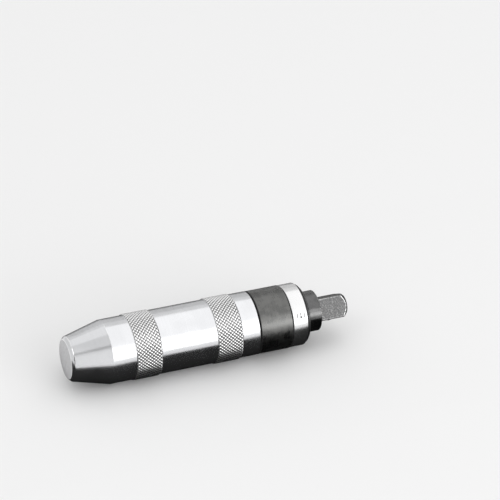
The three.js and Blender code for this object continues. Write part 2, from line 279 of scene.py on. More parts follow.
def startMaterial(name, finish):
    material = bpy.data.materials.new(name)
    material.use_nodes = True
    tree = material.node_tree
    tree.nodes.clear()
    values = {"Metallic": finish["metallic"], "Specular IOR Level": finish["specular"]}
    shader = addNode(tree, "ShaderNodeBsdfPrincipled", values)
    output = addNode(tree, "ShaderNodeOutputMaterial")
    tree.links.new(shader.outputs["BSDF"], output.inputs["Surface"])
    place = addNode(tree, "ShaderNodeTexCoord").outputs["Object"]
    centred = addNode(
        tree, "ShaderNodeMapping", {"Vector": place, "Location": (0, 0, -axisHeight)})
    return material, shader, tree, centred.outputs["Vector"]


def placeGroup(tree, group, values):
    return addNode(tree, "ShaderNodeGroup", values, node_tree=group).outputs


def placeSpeckle(tree, place, finish):
    values = {"Vector": place, "Fleck": finish["fleck"], "Cloud": finish["cloud"]}
    return placeGroup(tree, speckle, values)


def finishShader(tree, shader, colour, gloss):
    tree.links.new(colour, shader.inputs["Base Color"])
    tree.links.new(gloss, shader.inputs["Roughness"])


def addBump(tree, shader, height, distance=1.0):
    bump = addNode(tree, "ShaderNodeBump", {"Height": height, "Distance": distance})
    tree.links.new(bump.outputs["Normal"], shader.inputs["Normal"])


metalTone = {
    "lines": 0.6,        # shares of the turned lines and of the clouds in a metal's tone
    "clouds": 0.4,
    "low": 0.2,          # the tones where its gloss begins and ends to change
    "high": 0.8,
    "wearGrain": 900.0,
}


# Turned metals: fine rings in colour, gloss and relief, broader tones, and worn edges
def turnedMetal(name, finish):
    material, shader, tree, place = startMaterial(name, finish)
    lines = placeGroup(tree, turnedLines, {
        "Vector": place, "Density": finish["density"], "Drift": finish["drift"]})["Lines"]
    spots = placeSpeckle(tree, place, finish)
    edge = addNode(tree, "ShaderNodeAttribute", attribute_name="edge").outputs["Fac"]
    wear = placeGroup(tree, edgeWear, {
        "Vector": place, "Edge": edge, "Grain": metalTone["wearGrain"],
        "Amount": finish["wear"]})["Wear"]
    clouds = mathNode(tree, "MULTIPLY", spots["Clouds"], metalTone["clouds"])
    tone = mathNode(tree, "MULTIPLY_ADD", lines, metalTone["lines"], clouds)
    base = mixColours(tree, tone, finish["dark"], finish["light"])
    flecks = mathNode(tree, "MULTIPLY", spots["Flecks"], finish["flecks"])
    flecked = mixColours(tree, flecks, base, finish["fleckColour"])
    worn = mixColours(tree, wear, flecked, finish["wornColour"])
    gloss = rangeNode(
        tree, tone, metalTone["low"], metalTone["high"], finish["smooth"], finish["rough"])
    grain = mathNode(tree, "MULTIPLY", spots["Height"], finish["grainRelief"])
    relief = mathNode(tree, "MULTIPLY_ADD", lines, finish["lineRelief"], grain)
    finishShader(tree, shader, worn, gloss)
    addBump(tree, shader, relief)
    return material


satinFinish = {
    "metallic": 1.0, "specular": 0.5, "dark": (0.69, 0.695, 0.71, 1),
    "light": (0.812, 0.817, 0.835, 1), "smooth": 0.15, "rough": 0.22, "density": 5200.0,
    "drift": 24.0, "cloud": 60.0, "fleck": 1500.0, "flecks": 0.12, "fleckColour": grey(0.6),
    "wear": 0.8, "wornColour": grey(0.92), "lineRelief": 0.0012 * mm, "grainRelief": 0.0001 * mm,
}
oxideFinish = {
    **satinFinish, "dark": (0.096, 0.097, 0.096, 1), "light": (0.192, 0.191, 0.184, 1),
    "smooth": 0.23, "rough": 0.36, "density": 2600.0, "cloud": 260.0, "flecks": 0.25,
    "fleckColour": grey(0.18), "wear": 0.5, "wornColour": grey(0.3),
}
ringFinish = {
    **satinFinish, "dark": grey(0.76), "light": grey(0.86), "smooth": 0.16, "rough": 0.25,
    "fleck": 2600.0, "flecks": 0.3, "fleckColour": grey(0.66), "grainRelief": 0.002 * mm,
}
forgedFinish = {
    **oxideFinish, "dark": grey(0.09), "light": grey(0.155), "smooth": 0.14, "rough": 0.24,
    "density": 1500.0, "cloud": 220.0, "flecks": 0.3, "fleckColour": grey(0.2), "wear": 0.9,
    "wornColour": grey(0.7),
}
phosphateFinish = {
    **oxideFinish, "dark": grey(0.08), "light": grey(0.17), "smooth": 0.4, "rough": 0.55,
    "density": 300.0, "cloud": 600.0, "flecks": 0.9, "fleckColour": grey(0.3), "wear": 1.0,
    "wornColour": grey(0.9), "grainRelief": 0.02 * mm,
}
groundFinish = {
    **satinFinish, "dark": grey(0.5), "light": grey(0.66), "smooth": 0.16, "rough": 0.28,
    "density": 3500.0,
}
struckFinish = {
    **satinFinish, "dark": (0.52, 0.52, 0.53, 1), "light": (0.7, 0.7, 0.71, 1), "smooth": 0.34,
    "rough": 0.5, "density": 1400.0, "cloud": 330.0, "fleck": 900.0, "flecks": 0.45,
    "fleckColour": grey(0.4), "lineRelief": 0.008 * mm, "grainRelief": 0.03 * mm,
}
bronzeFinish = {
    **satinFinish, "dark": (0.42, 0.25, 0.1, 1), "light": (0.56, 0.36, 0.16, 1), "smooth": 0.3,
    "rough": 0.45, "flecks": 0.4, "fleckColour": (0.3, 0.18, 0.08, 1),
    "wornColour": (0.7, 0.5, 0.25, 1),
}
# Seam: near-black, the painted shade in the joints between parts, with oil in them
seamFinish = {
    **oxideFinish, "metallic": 0.2, "dark": grey(0.008), "light": grey(0.02), "smooth": 0.5,
    "rough": 0.65, "fleckColour": grey(0.03), "wornColour": grey(0.03),
}
bluedFinish = {
    **oxideFinish, "dark": grey(0.03), "light": grey(0.07), "smooth": 0.35, "rough": 0.5,
    "fleckColour": grey(0.08), "wornColour": grey(0.12),
}
springFinish = {
    **groundFinish, "dark": (0.17, 0.18, 0.2, 1), "light": (0.28, 0.29, 0.31, 1), "smooth": 0.28,
    "rough": 0.42, "fleckColour": grey(0.4), "density": 900.0,
}

knurl = {
    "rows": 7,             # whole diamonds along a band
    "columns": 54,         # whole diamonds round it
    "rise": 0.5 * mm,      # of the tops above the lands
    "floor": 0.06 * mm,    # of the groove floors above the lands
    "flank": 0.42 * mm,    # width of a groove's side up to the shoulder
    "shoulder": 0.4 * mm,  # height of that side
    "crown": 0.14 * mm,    # width of the slope from the shoulder to the flat top
    "shade": 0.6,          # share of the groove's depth painted dark: painted shade, with oil
    "endFlank": 0.3 * mm,  # at a band's ends the outward sides have the lands' finish, without the painted groove shade
    "edgeCuts": 3,         # the band's edge has the body's own steps: 216 / 54 = 4 to a diamond
}
# The groove colour is the painted shade in the bottoms of the grooves
knurlFinish = {
    **satinFinish, "groove": grey(0.03), "light": grey(0.97), "smooth": 0.2, "rough": 0.55,
    "cloud": 350.0, "cloudShare": 0.1, "depthShare": 0.95, "fleck": 2400.0,
    "grainRelief": 0.01 * mm,
}
landRadius = outerRadius("grip_body") - knurl["rise"]
floorRadius = landRadius + knurl["floor"]


# Knurled steel: the same metal, painted darker towards the bottoms of the grooves as painted shade, with
# oil
def knurledMetal(name, finish):
    material, shader, tree, place = startMaterial(name, finish)
    radius = placeGroup(tree, turnedLines, {"Vector": place})["Radius"]
    spots = placeSpeckle(tree, place, finish)
    # The depth mask paints the groove bottoms dark as painted shade, lighter towards the tops
    shadeTop = floorRadius + (knurl["rise"] - knurl["floor"]) * knurl["shade"]
    depth = rangeNode(tree, radius, floorRadius, shadeTop, 0.0, 1.0, "SMOOTHSTEP")
    unshaded = mathNode(tree, "MULTIPLY", depth, finish["depthShare"])
    shade = mathNode(tree, "MULTIPLY_ADD", spots["Clouds"], finish["cloudShare"], unshaded)
    base = mixColours(tree, shade, finish["groove"], finish["light"])
    flecks = mathNode(tree, "MULTIPLY", spots["Flecks"], finish["flecks"])
    flecked = mixColours(tree, flecks, base, finish["dark"])
    gloss = rangeNode(tree, shade, 0.0, 1.0, finish["rough"], finish["smooth"])
    finishShader(tree, shader, flecked, gloss)
    addBump(tree, shader, spots["Height"], finish["grainRelief"])
    return material


# Rubber is dark with a fine moulded grain, the mark is the dull grey that a laser leaves in the ring
rubberFinish = {
    "metallic": 0.0, "specular": 0.35, "dark": (0.012, 0.012, 0.012, 1),
    "light": (0.026, 0.026, 0.027, 1), "smooth": 0.6, "rough": 0.78, "fleck": 1800.0,
    "cloud": 400.0, "grainRelief": 0.02 * mm,
}
etchedFinish = {
    "metallic": 0.2, "specular": 0.3, "dark": grey(0.02), "light": grey(0.12), "smooth": 0.5,
    "rough": 0.7, "fleck": 3000.0, "cloud": 900.0,
}


def dullMaterial(name, finish):
    material, shader, tree, place = startMaterial(name, finish)
    spots = placeSpeckle(tree, place, finish)
    colour = mixColours(tree, spots["Clouds"], finish["dark"], finish["light"])
    gloss = rangeNode(tree, spots["Flecks"], 0.0, 1.0, finish["smooth"], finish["rough"])
    finishShader(tree, shader, colour, gloss)
    if "grainRelief" in finish:
        addBump(tree, shader, spots["Height"], finish["grainRelief"])
    return material


materials = {
    "satin": turnedMetal("satinSteel", satinFinish),
    "struck": turnedMetal("struckSteel", struckFinish),
    "knurled": knurledMetal("knurledSteel", knurlFinish),
    "oxide": turnedMetal("blackOxide", oxideFinish),
    "seam": turnedMetal("seamOilAndShade", seamFinish),
    "blued": turnedMetal("bluedSnapRing", bluedFinish),
    "ring": turnedMetal("silverRing", ringFinish),
    "forged": turnedMetal("forgedBlack", forgedFinish),
    "phosphate": turnedMetal("phosphateSteel", phosphateFinish),
    "ground": turnedMetal("groundSteel", groundFinish),
    "bronze": turnedMetal("bronzeBush", bronzeFinish),
    "spring": turnedMetal("springWire", springFinish),
    "rubber": dullMaterial("sealRubber", rubberFinish),
    "etched": dullMaterial("etchedMark", etchedFinish),
}
print("materials are ready")


def wholeOf(bm):
    return bm.verts[:] + bm.edges[:] + bm.faces[:]


def openEdges(bm):
    return [edge for edge in bm.edges if len(edge.link_faces) == 1]


def sliceAt(bm, point, outward, within, cutAway=True):
    return bmesh.ops.bisect_plane(
        bm, geom=wholeOf(bm), dist=within, plane_co=point, plane_no=outward,
        clear_outer=cutAway)["geom_cut"]


# An outline of corners, each two measures and, where it is rounded, a radius
def drawOutline(outline, pointOf=placeAt, closed=False):
    bm = bmesh.new()
    corners = [bm.verts.new(pointOf(*corner[:2])) for corner in outline]
    for first, second in zip(corners, corners[1:] + (corners[:1] if closed else [])):
        bm.edges.new((first, second))
    for vert, corner in zip(corners, outline):
        if len(corner) > 2:
            bmesh.ops.bevel(
                bm, geom=[vert], offset=corner[2], offset_type="OFFSET", segments=cornerSteps,
                profile=0.5, affect="VERTICES", material=-1)
    return bm


def spinAll(bm, steps=bodySteps, sweep=fullTurn, centre=None, axis=(1, 0, 0)):
    whole = abs(sweep - fullTurn) < mergeDistance
    bmesh.ops.spin(
        bm, geom=wholeOf(bm), cent=centre or placeAt(0, 0), axis=axis, dvec=(0, 0, 0), angle=sweep,
        steps=steps, use_merge=whole, use_normal_flip=False, use_duplicate=False)
    bmesh.ops.remove_doubles(bm, verts=bm.verts[:], dist=mergeDistance)
    bmesh.ops.recalc_face_normals(bm, faces=bm.faces[:])


# Turned shapes: an outline of (station, radius) corners, spun about the tool's axis
def turnedShape(outline, closed=False, steps=bodySteps):
    bm = drawOutline(outline, closed=closed)
    spinAll(bm, steps)
    return bm


# Parts that stand across the tool: (height, radius) corners spun about Z, then set on the direction
# that stands out from the axis at a station and a turn
def spunPin(outline, station, turn):
    bm = drawOutline(outline, lambda height, radius: Vector((radius, 0, height)))
    spinAll(bm, smallSteps, centre=(0, 0, 0), axis=(0, 0, 1))
    standUp(bm, station, turn)
    return bm


def standUp(bm, station, turn):
    place = Matrix.Translation(placeAt(station, 0)) @ Matrix.Rotation(turn, 4, "X")
    bmesh.ops.transform(bm, matrix=place, verts=bm.verts[:])


def addMesh(bm, other):
    added = meshFrom("part", other)
    bm.from_mesh(added)
    bpy.data.meshes.remove(added)


# Marks the narrow faces of rounded and chamfered edges, which a finish may wear
def markEdges(bm, width):
    layer = bm.faces.layers.float.get("edge") or bm.faces.layers.float.new("edge")
    for face in bm.faces:
        stations = [vert.co.x for vert in face.verts]
        radii = [radiusOf(vert.co) for vert in face.verts]
        run = math.hypot(max(stations) - min(stations), max(radii) - min(radii))
        face[layer] = 1.0 if run < width else 0.0


# Faces from a station to a depth in front of it get another slot, such as a seam's near-black painted
# shade
def giveSlot(bm, station, depth, index):
    for face in bm.faces:
        middle = stationOf(face.calc_center_median().x)
        if station - mergeDistance < middle < station + depth:
            face.material_index = index


def makePiece(name, bm, slots, body, nodes=()):
    bmesh.ops.recalc_face_normals(bm, faces=bm.faces[:])
    if any(len(edge.link_faces) != 2 for edge in bm.edges):
        print("warning:", name, "isn't closed")
    for edge in bm.edges:
        if edge.calc_face_angle(0.0) > sharpAngle:
            edge.smooth = False
    for face in bm.faces:
        face.smooth = True
    piece = addObject(name, meshFrom(name, bm))
    for key in slots:
        piece.data.materials.append(materials[key])
    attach(piece, body)
    if nodes:
        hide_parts(*nodes)
    print("made", name, len(piece.data.polygons), "faces")
    return piece


# Grip body: tapered tail, plain lands, two knurled bands and the bore, one closed shell
grip = {
    "tailLength": 22 * mm,
    "rearLand": 13.2 * mm,
    "band": 15 * mm,
    "middleLand": 32.4 * mm,
    "tailTaper": 5.3 * mm,
    "strikingChamfer": 1.6 * mm,
    "edgeChamfer": 0.5 * mm,
    "rounding": 0.35 * mm,
    "fineRounding": 0.12 * mm,
    "mouth": 16.15 * mm,
    "mouthDepth": 12.65 * mm,
    "bore": 14.75 * mm,
    "solidTail": 24 * mm,
    "joinWithin": 10 * mergeDistance,   # bands and lands are drawn apart and joined
}
gripSlots = ("satin", "knurled", "struck", "seam")


# A band starts as a flat grid of diamonds, one unit to each, and is then wrapped round the body
def knurlBand(rear):
    bm = bmesh.new()
    rows, columns = knurl["rows"], knurl["columns"]
    reach = columns + rows
    slack, border = 0.1, 1e-5      # how near to a side counts as on it, in diamonds
    bmesh.ops.create_grid(bm, x_segments=2 * reach, y_segments=2 * reach, size=reach)
    bmesh.ops.rotate(
        bm, verts=bm.verts[:], cent=(0, 0, 0), matrix=Matrix.Rotation(quarterTurn / 2, 3, "Z"))
    bmesh.ops.scale(bm, verts=bm.verts[:], vec=(math.sqrt(0.5), math.sqrt(0.5), 1))
    outside = [
        face for face in bm.faces
        if not (-slack < face.calc_center_median().x < rows + slack
                and -slack < face.calc_center_median().y < columns - slack)
    ]
    bmesh.ops.delete(bm, geom=outside, context="FACES")
    for cut, side in ((0.0, -1), (rows, 1)):
        sliceAt(bm, (cut, 0, 0), (side, 0, 0), border)
    pitch = grip["band"] / rows
    for vert in bm.verts:
        vert.co = placeAt(rear + vert.co.x * pitch, floorRadius, vert.co.y / columns * fullTurn)
    bmesh.ops.remove_doubles(bm, verts=bm.verts[:], dist=mergeDistance)
    bmesh.ops.recalc_face_normals(bm, faces=bm.faces[:])
    outwards = bm.faces[0].normal.dot(bm.faces[0].calc_center_median() - placeAt(rear, 0)) > 0
    if not outwards:
        bmesh.ops.reverse_faces(bm, faces=bm.faces[:])
    tops = bm.faces[:]
    bmesh.ops.inset_individual(
        bm, faces=tops, thickness=knurl["flank"], depth=knurl["shoulder"], use_even_offset=True)
    bmesh.ops.inset_individual(
        bm, faces=tops, thickness=knurl["crown"],
        depth=knurl["rise"] - knurl["floor"] - knurl["shoulder"], use_even_offset=True)
    bmesh.ops.subdivide_edges(bm, edges=openEdges(bm), cuts=knurl["edgeCuts"])
    bmesh.ops.extrude_edge_only(bm, edges=openEdges(bm))
    for edge in openEdges(bm):
        for vert in edge.verts:
            vert.co = placeAt(stationOf(vert.co.x), landRadius, turnOf(vert.co))
    return bm


def makeGrip():
    tail = stationOf(gripLow.x)
    tailRadius = landRadius - grip["tailTaper"]
    cone = tail + grip["tailLength"]
    bandRear = cone + grip["rearLand"]
    middleRear = bandRear + grip["band"]
    bandFront = middleRear + grip["middleLand"]
    frontRear = bandFront + grip["band"]
    chamfer, fine = grip["edgeChamfer"], grip["fineRounding"]
    bm = turnedShape([
        (tail, 0),
        (tail, tailRadius - grip["strikingChamfer"], grip["rounding"]),
        (tail + grip["strikingChamfer"], tailRadius, grip["rounding"]),
        (cone, landRadius, fine),
        (bandRear, landRadius),
    ])
    addMesh(bm, turnedShape([(middleRear, landRadius), (bandFront, landRadius)]))
    addMesh(bm, turnedShape([
        (frontRear, landRadius),
        (-chamfer, landRadius, fine / 2),
        (0, landRadius - chamfer, fine / 2),
        (0, grip["mouth"], fine),
        (-grip["mouthDepth"], grip["mouth"]),
        (-grip["mouthDepth"], grip["bore"]),
        (tail + grip["solidTail"], grip["bore"], grip["rounding"]),
        (tail + grip["solidTail"], 0),
    ]))
    markEdges(bm, grip["strikingChamfer"] / 2)
    giveSlot(bm, tail, mergeDistance, gripSlots.index("struck"))
    for rear in (bandRear, bandFront):
        known = set(bm.faces)
        addMesh(bm, knurlBand(rear))
        for face in bm.faces:
            along = stationOf(face.calc_center_median().x) - rear
            if face not in known and knurl["endFlank"] < along < grip["band"] - knurl["endFlank"]:
                face.material_index = gripSlots.index("knurled")
    # The grip's front chamfer gets the seam's painted shade
    giveSlot(bm, -chamfer, chamfer + mergeDistance, gripSlots.index("seam"))
    bmesh.ops.remove_doubles(bm, verts=bm.verts[:], dist=grip["joinWithin"])
    makePiece("gripBody", bm, gripSlots, "housing", ["grip_body"])


makeGrip()


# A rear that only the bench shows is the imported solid's own, cut off and joined to a finer front
def rearOf(node, cut):
    bm = bmesh.new()
    bm.from_mesh(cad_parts[node].data)
    for layer in list(bm.loops.layers.uv):
        bm.loops.layers.uv.remove(layer)
    bmesh.ops.remove_doubles(bm, verts=bm.verts[:], dist=mergeDistance)
    sliceAt(bm, placeAt(cut, 0), (1, 0, 0), mergeDistance / 2)
    return bm


def bridgeAt(bm, low, high):
    loops = [edge for edge in openEdges(bm) if low < radiusOf(edge.verts[0].co) < high]
    bmesh.ops.bridge_loops(bm, edges=loops)


def splitLargeFaces(bm):
    bmesh.ops.triangulate(bm, faces=[face for face in bm.faces if len(face.verts) > 4])


# Nose body: dark cover length, the silver ring's seat, the snap ring's groove and the front land
nose = {
    "cover": 19.2 * mm,
    "gap": 0.25 * mm,
    "threadRadius": 15.9 * mm,
    "bore": 11.75 * mm,
    "chamfer": 0.4 * mm,
    "rounding": 0.12 * mm,
    "snapDepth": 0.8 * mm,
    "wallAtBush": 2.4 * mm,
    "sleeveWall": 2.75 * mm,
    "seam": 0.5 * mm,        # of the chamfer painted near-black as the joint's shade, with oil
    "wornWidth": 0.45 * mm,  # faces narrower than this are edges that may wear
    "joinBehind": 0.2 * mm,
    "joinLength": 1.2 * mm,
}
noseSlots = ("oxide", "seam")
bushSeat = bushOuter + nose["gap"]
ringSeat = bushSeat + nose["wallAtBush"]


def makeNose():
    coverRadius = outerRadius("nose_body")
    coverStart = nose["gap"]
    coverEnd = coverStart + nose["cover"]
    floor = ringSeat - nose["snapDepth"]
    grooveEnd = snapFront + nose["gap"]
    end = stationsOf("nose_body")[1]
    chamfer, rounding = nose["chamfer"], nose["rounding"]
    bm = turnedShape([
        (coverStart, nose["threadRadius"]),
        (coverStart, coverRadius - chamfer, rounding),
        (coverStart + chamfer, coverRadius, rounding),
        (coverEnd - chamfer, coverRadius, rounding),
        (coverEnd, coverRadius - chamfer, rounding),
        (coverEnd, ringSeat),
        (ringFront, ringSeat),
        (ringFront, floor),
        (grooveEnd, floor),
        (grooveEnd, ringSeat, rounding),
        (end - chamfer, ringSeat, rounding),
        (end, ringSeat - chamfer, rounding),
        (end, bushSeat, rounding),
        (bushRear - nose["gap"], bushSeat),
        (bushRear - nose["gap"], nose["bore"]),
        (nose["joinLength"], nose["bore"]),
    ])
    addMesh(bm, rearOf("nose_body", -nose["joinBehind"]))
    middle = (nose["threadRadius"] + nose["bore"]) / 2
    bridgeAt(bm, 0, middle)
    bridgeAt(bm, middle, coverRadius)
    splitLargeFaces(bm)
    markEdges(bm, nose["wornWidth"])
    # The cover's rear chamfer and front chamfer get the seam's painted shade
    giveSlot(bm, coverStart, nose["seam"], noseSlots.index("seam"))
    giveSlot(bm, coverEnd - chamfer, chamfer + mergeDistance, noseSlots.index("seam"))
    makePiece("noseBody", bm, noseSlots, "housing", ["nose_body"])


makeNose()

# Silver ring with its dowel
ring = {
    "chamfer": 0.3 * mm,
    "rounding": 0.1 * mm,
    "clearance": 0.25 * mm,
    "seam": 0.25 * mm,
    "dowelChamfer": 0.15 * mm,
    "dowelSunk": 0.2 * mm,
}
ringSlots = ("ring", "seam")
ringRadius = outerRadius("indicator_ring")


def makeRing():
    inner = ringSeat + ring["clearance"]
    chamfer, rounding = ring["chamfer"], ring["rounding"]
    bm = turnedShape([
        (ringRear, inner),
        (ringRear, ringRadius - chamfer, rounding),
        (ringRear + chamfer, ringRadius, rounding),
        (ringFront - chamfer, ringRadius, rounding),
        (ringFront, ringRadius - chamfer, rounding),
        (ringFront, inner),
    ], closed=True)
    markEdges(bm, 2 * chamfer)
    # The ring's rear face and front edge get the seam's painted shade
    giveSlot(bm, ringRear, mergeDistance, ringSlots.index("seam"))
    giveSlot(bm, ringFront - ring["seam"], ring["seam"] + mergeDistance, ringSlots.index("seam"))
    makePiece("indicatorRing", bm, ringSlots, "housing", ["indicator_ring"])


def makeDowel():
    middle = middleOf("ring_dowel")
    radius = lengthOf("ring_dowel") / 2
    top = ringRadius - ring["dowelSunk"]
    foot = 2 * radiusOf(middle) - top
    pin = spunPin([
        (foot, 0),
        (foot, radius, ring["dowelChamfer"]),
        (top, radius, ring["dowelChamfer"]),
        (top, 0),
    ], stationOf(middle.x), turnOf(middle))
    makePiece("ringDowel", pin, ("ground",), "housing", ["ring_dowel"])


makeRing()
makeDowel()

# Direction mark on the ring: a plain arrow for the way the spindle turns, between two index lines
mark = {
    "station": 24.4 * mm,
    "turn": math.radians(57.5),
    "length": 3.4 * mm,
    "head": 1.3 * mm,
    "headWidth": 2.1 * mm,
    "stroke": 0.5 * mm,
    "apart": 4.2 * mm,
    "strip": 0.4 * mm,   # the mark follows the ring in strips this wide
    "strips": 3,         # of them on either side of its middle
    "proud": 0.02 * mm,
    "sunk": 0.1 * mm,
}


def makeMark():
    bm = bmesh.new()
    half = mark["length"] / 2
    neck = half - mark["head"]
    thin, wide, side = mark["stroke"] / 2, mark["headWidth"] / 2, mark["apart"] / 2
    arrow = [
        (-thin, -half), (thin, -half), (thin, neck), (wide, neck),
        (0, half), (-wide, neck), (-thin, neck),
    ]
    lines = [
        [(x - thin, -half), (x + thin, -half), (x + thin, half), (x - thin, half)]
        for x in (-side, side)
    ]
    for outline in (arrow, *lines):
        bm.faces.new([bm.verts.new((x, y, 0)) for x, y in outline])
    for step in range(-mark["strips"], mark["strips"] + 1):
        sliceAt(bm, (0, step * mark["strip"], 0), (0, 1, 0), mergeDistance / 4, cutAway=False)
    raised = bmesh.ops.extrude_face_region(bm, geom=bm.faces[:], use_keep_orig=True)["geom"]
    lifted = [item for item in raised if isinstance(item, bmesh.types.BMVert)]
    bmesh.ops.translate(bm, verts=lifted, vec=(0, 0, mark["proud"] + mark["sunk"]))
    for vert in bm.verts:
        x, y, z = vert.co
        radius = ringRadius - mark["sunk"] + z
        vert.co = placeAt(mark["station"] + x, radius, mark["turn"] + y / ringRadius)
    makePiece("directionMark", bm, ("etched",), "housing")


makeMark()

# Retaining ring: a flat spring ring with its mouth at the bottom
snap = {"width": 1.45 * mm, "mouth": math.radians(24), "rounding": 0.12 * mm, "steps": 200}


def makeSnapRing():
    low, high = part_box("retaining_ring")
    outer = (high.y - low.y) / 2
    inner = outer - snap["width"]
    bm = drawOutline([
        (snapRear, inner, snap["rounding"]),
        (snapRear, outer, snap["rounding"]),
        (snapFront, outer, snap["rounding"]),
        (snapFront, inner, snap["rounding"]),
    ], closed=True)
    bmesh.ops.rotate(
        bm, verts=bm.verts[:], cent=placeAt(0, 0),
        matrix=Matrix.Rotation(math.pi + snap["mouth"] / 2, 3, "X"))
    spinAll(bm, snap["steps"], fullTurn - snap["mouth"])
    bmesh.ops.holes_fill(bm, edges=openEdges(bm), sides=0)
    makePiece("retainingRing", bm, ("blued",), "housing", ["retaining_ring"])


makeSnapRing()

# Wiper and bush round the spindle
bore = {"lip": 0.6 * mm, "dish": 0.9 * mm, "rounding": 0.12 * mm, "bushChamfer": 0.4 * mm}


def makeWiper():
    rear, front = stationsOf("wiper_seal")
    bm = turnedShape([
        (rear, nose["bore"]),
        (rear, bushOuter),
        (front, bushOuter, bore["rounding"]),
        (front - bore["dish"], nose["bore"] + bore["lip"], bore["rounding"]),
        (front, nose["bore"]),
    ], closed=True)
    makePiece("wiperSeal", bm, ("rubber",), "housing", ["wiper_seal"])


def makeBush():
    chamfer = bore["bushChamfer"]
    bm = turnedShape([
        (bushRear, nose["bore"] + chamfer),
        (bushRear, bushOuter - chamfer),
        (bushRear + chamfer, bushOuter),
        (bushFront, bushOuter),
        (bushFront, nose["bore"]),
        (bushRear + chamfer, nose["bore"]),
    ], closed=True, steps=smallSteps)
    makePiece("noseBush", bm, ("bronze",), "housing", ["nose_bush"])


makeWiper()
makeBush()

# Spindle: ground shank, glossy collar and the square drive
spindle = {
    "collarChamfer": 0.25 * mm,
    "rounding": 0.1 * mm,
    "joinAt": 12.0 * mm,
    "joinLength": 1.5 * mm,
    "driveLength": 18.0 * mm,
    "flats": 12.7 * mm,
    "corner": 8.7 * mm,
    "end": 5.3 * mm,
    "endRounding": 0.4 * mm,
    "root": 1.0 * mm,
    "edge": 0.12 * mm,
    "edgeAngle": math.radians(24),
    "edgeSteps": 2,
    "wornWidth": 0.9 * mm,   # faces of the turned part narrower than this may wear
    "worn": 0.38 * mm,       # width of each flat's bright border: worn steel, painted bright as the edges' highlight
    "sideWearAndHighlight": 0.3,         # of the borders along the flats, where the end has 1
}
spindleSlots = ("forged", "phosphate", "ground")
spindleRadius = outerRadius("drive_spindle")


def makeSquare(collarEnd, driveEnd):
    chamfer = spindle["corner"] - spindle["end"]
    bm = turnedShape([
        (collarEnd - spindle["root"], 0),
        (collarEnd - spindle["root"], spindle["corner"]),
        (driveEnd - chamfer, spindle["corner"], spindle["endRounding"]),
        (driveEnd, spindle["end"], spindle["endRounding"]),
        (driveEnd, 0),
    ], steps=smallSteps)
    for quarter in range(4):
        turn = driveTurn + quarter * quarterTurn
        face = placeAt(0, spindle["flats"] / 2, turn)
        cut = sliceAt(bm, face, outwardAt(turn), mergeDistance / 4)
        rim = [item for item in cut if isinstance(item, bmesh.types.BMEdge)]
        bmesh.ops.holes_fill(bm, edges=rim, sides=0)
    bmesh.ops.recalc_face_normals(bm, faces=bm.faces[:])
    layer = bm.faces.layers.float.new("edge")
    # The four flats are the only faces with many corners that don't look along the tool
    flats = [face for face in bm.faces if len(face.verts) > 8 and abs(face.normal.x) < 0.5]
    # Each flat gets a bright border: worn steel, and a painted highlight of its edges
    border = bmesh.ops.inset_individual(
        bm, faces=flats, thickness=spindle["worn"], depth=0, use_even_offset=True)
    for face in border["faces"]:
        atEnd = stationOf(face.calc_center_median().x) > driveEnd - chamfer
        face[layer] = 1.0 if atEnd else spindle["sideWearAndHighlight"]
    rootEnd = collarEnd - spindle["root"] / 2
    sharp = [
        edge for edge in bm.edges
        if edge.calc_face_angle(0.0) > spindle["edgeAngle"]
        and stationOf(edge.verts[0].co.x) > rootEnd
    ]
    rounded = bmesh.ops.bevel(
        bm, geom=sharp, offset=spindle["edge"], offset_type="OFFSET",
        segments=spindle["edgeSteps"], profile=0.5, affect="EDGES", material=-1,
        clamp_overlap=True)
    for face in rounded["faces"]:
        face[layer] = 1.0
    for face in bm.faces:
        face.material_index = spindleSlots.index("phosphate")
    return bm


def cutWith(bm, cutter, operation):
    blanks = []
    for shape in (bm, cutter):
        blanks.append(addObject("blank", meshFrom("blank", shape)))
        for key in spindleSlots:
            blanks[-1].data.materials.append(materials[key])
    modifier = blanks[0].modifiers.new("cut", "BOOLEAN")
    modifier.object, modifier.operation, modifier.solver = blanks[1], operation, "EXACT"
    result = bmesh.new()
    result.from_object(blanks[0], bpy.context.evaluated_depsgraph_get())
    for blank in blanks:
        bpy.data.objects.remove(blank)
    bmesh.ops.remove_doubles(result, verts=result.verts[:], dist=mergeDistance)
    return result


# The detent ball's well, measured out from the tool's axis and from the square's face
detent = {
    "mouth": 2.3 * mm,
    "well": 2.75 * mm,
    "floor": -3.45 * mm,
    "lip": 0.3 * mm,
    "over": 1.0 * mm,
}


def makeSpindle():
    driveEnd = stationsOf("drive_spindle")[1]
    collarEnd = driveEnd - spindle["driveLength"]
    chamfer, rounding = spindle["collarChamfer"], spindle["rounding"]
    bm = turnedShape([
        (spindle["joinAt"] + spindle["joinLength"], spindleRadius),
        (collarEnd - chamfer, spindleRadius, rounding),
        (collarEnd, spindleRadius - chamfer, rounding),
        (collarEnd, 0),
    ])
    addMesh(bm, rearOf("drive_spindle", spindle["joinAt"]))
    bridgeAt(bm, 0, 2 * spindleRadius)
    splitLargeFaces(bm)
    markEdges(bm, spindle["wornWidth"])
    bm = cutWith(bm, makeSquare(collarEnd, driveEnd), "UNION")
    face = spindle["flats"] / 2
    well = spunPin([
        (detent["floor"], 0),
        (detent["floor"], detent["well"]),
        (face - detent["lip"], detent["well"]),
        (face - detent["lip"], detent["mouth"]),
        (face + detent["over"], detent["mouth"]),
        (face + detent["over"], 0),
    ], midStation("detent_ball"), ballTurn)
    for wall in well.faces:
        wall.material_index = spindleSlots.index("ground")
    bm = cutWith(bm, well, "DIFFERENCE")
    makePiece("driveSpindle", bm, spindleSlots, "spindle", ["drive_spindle"])


def makeBall(name, node, body):
    bm = bmesh.new()
    bmesh.ops.create_uvsphere(
        bm, u_segments=ballSteps, v_segments=ballSteps // 2, radius=lengthOf(node) / 2)
    bmesh.ops.translate(bm, verts=bm.verts[:], vec=middleOf(node))
    makePiece(name, bm, ("ground",), body, [node])


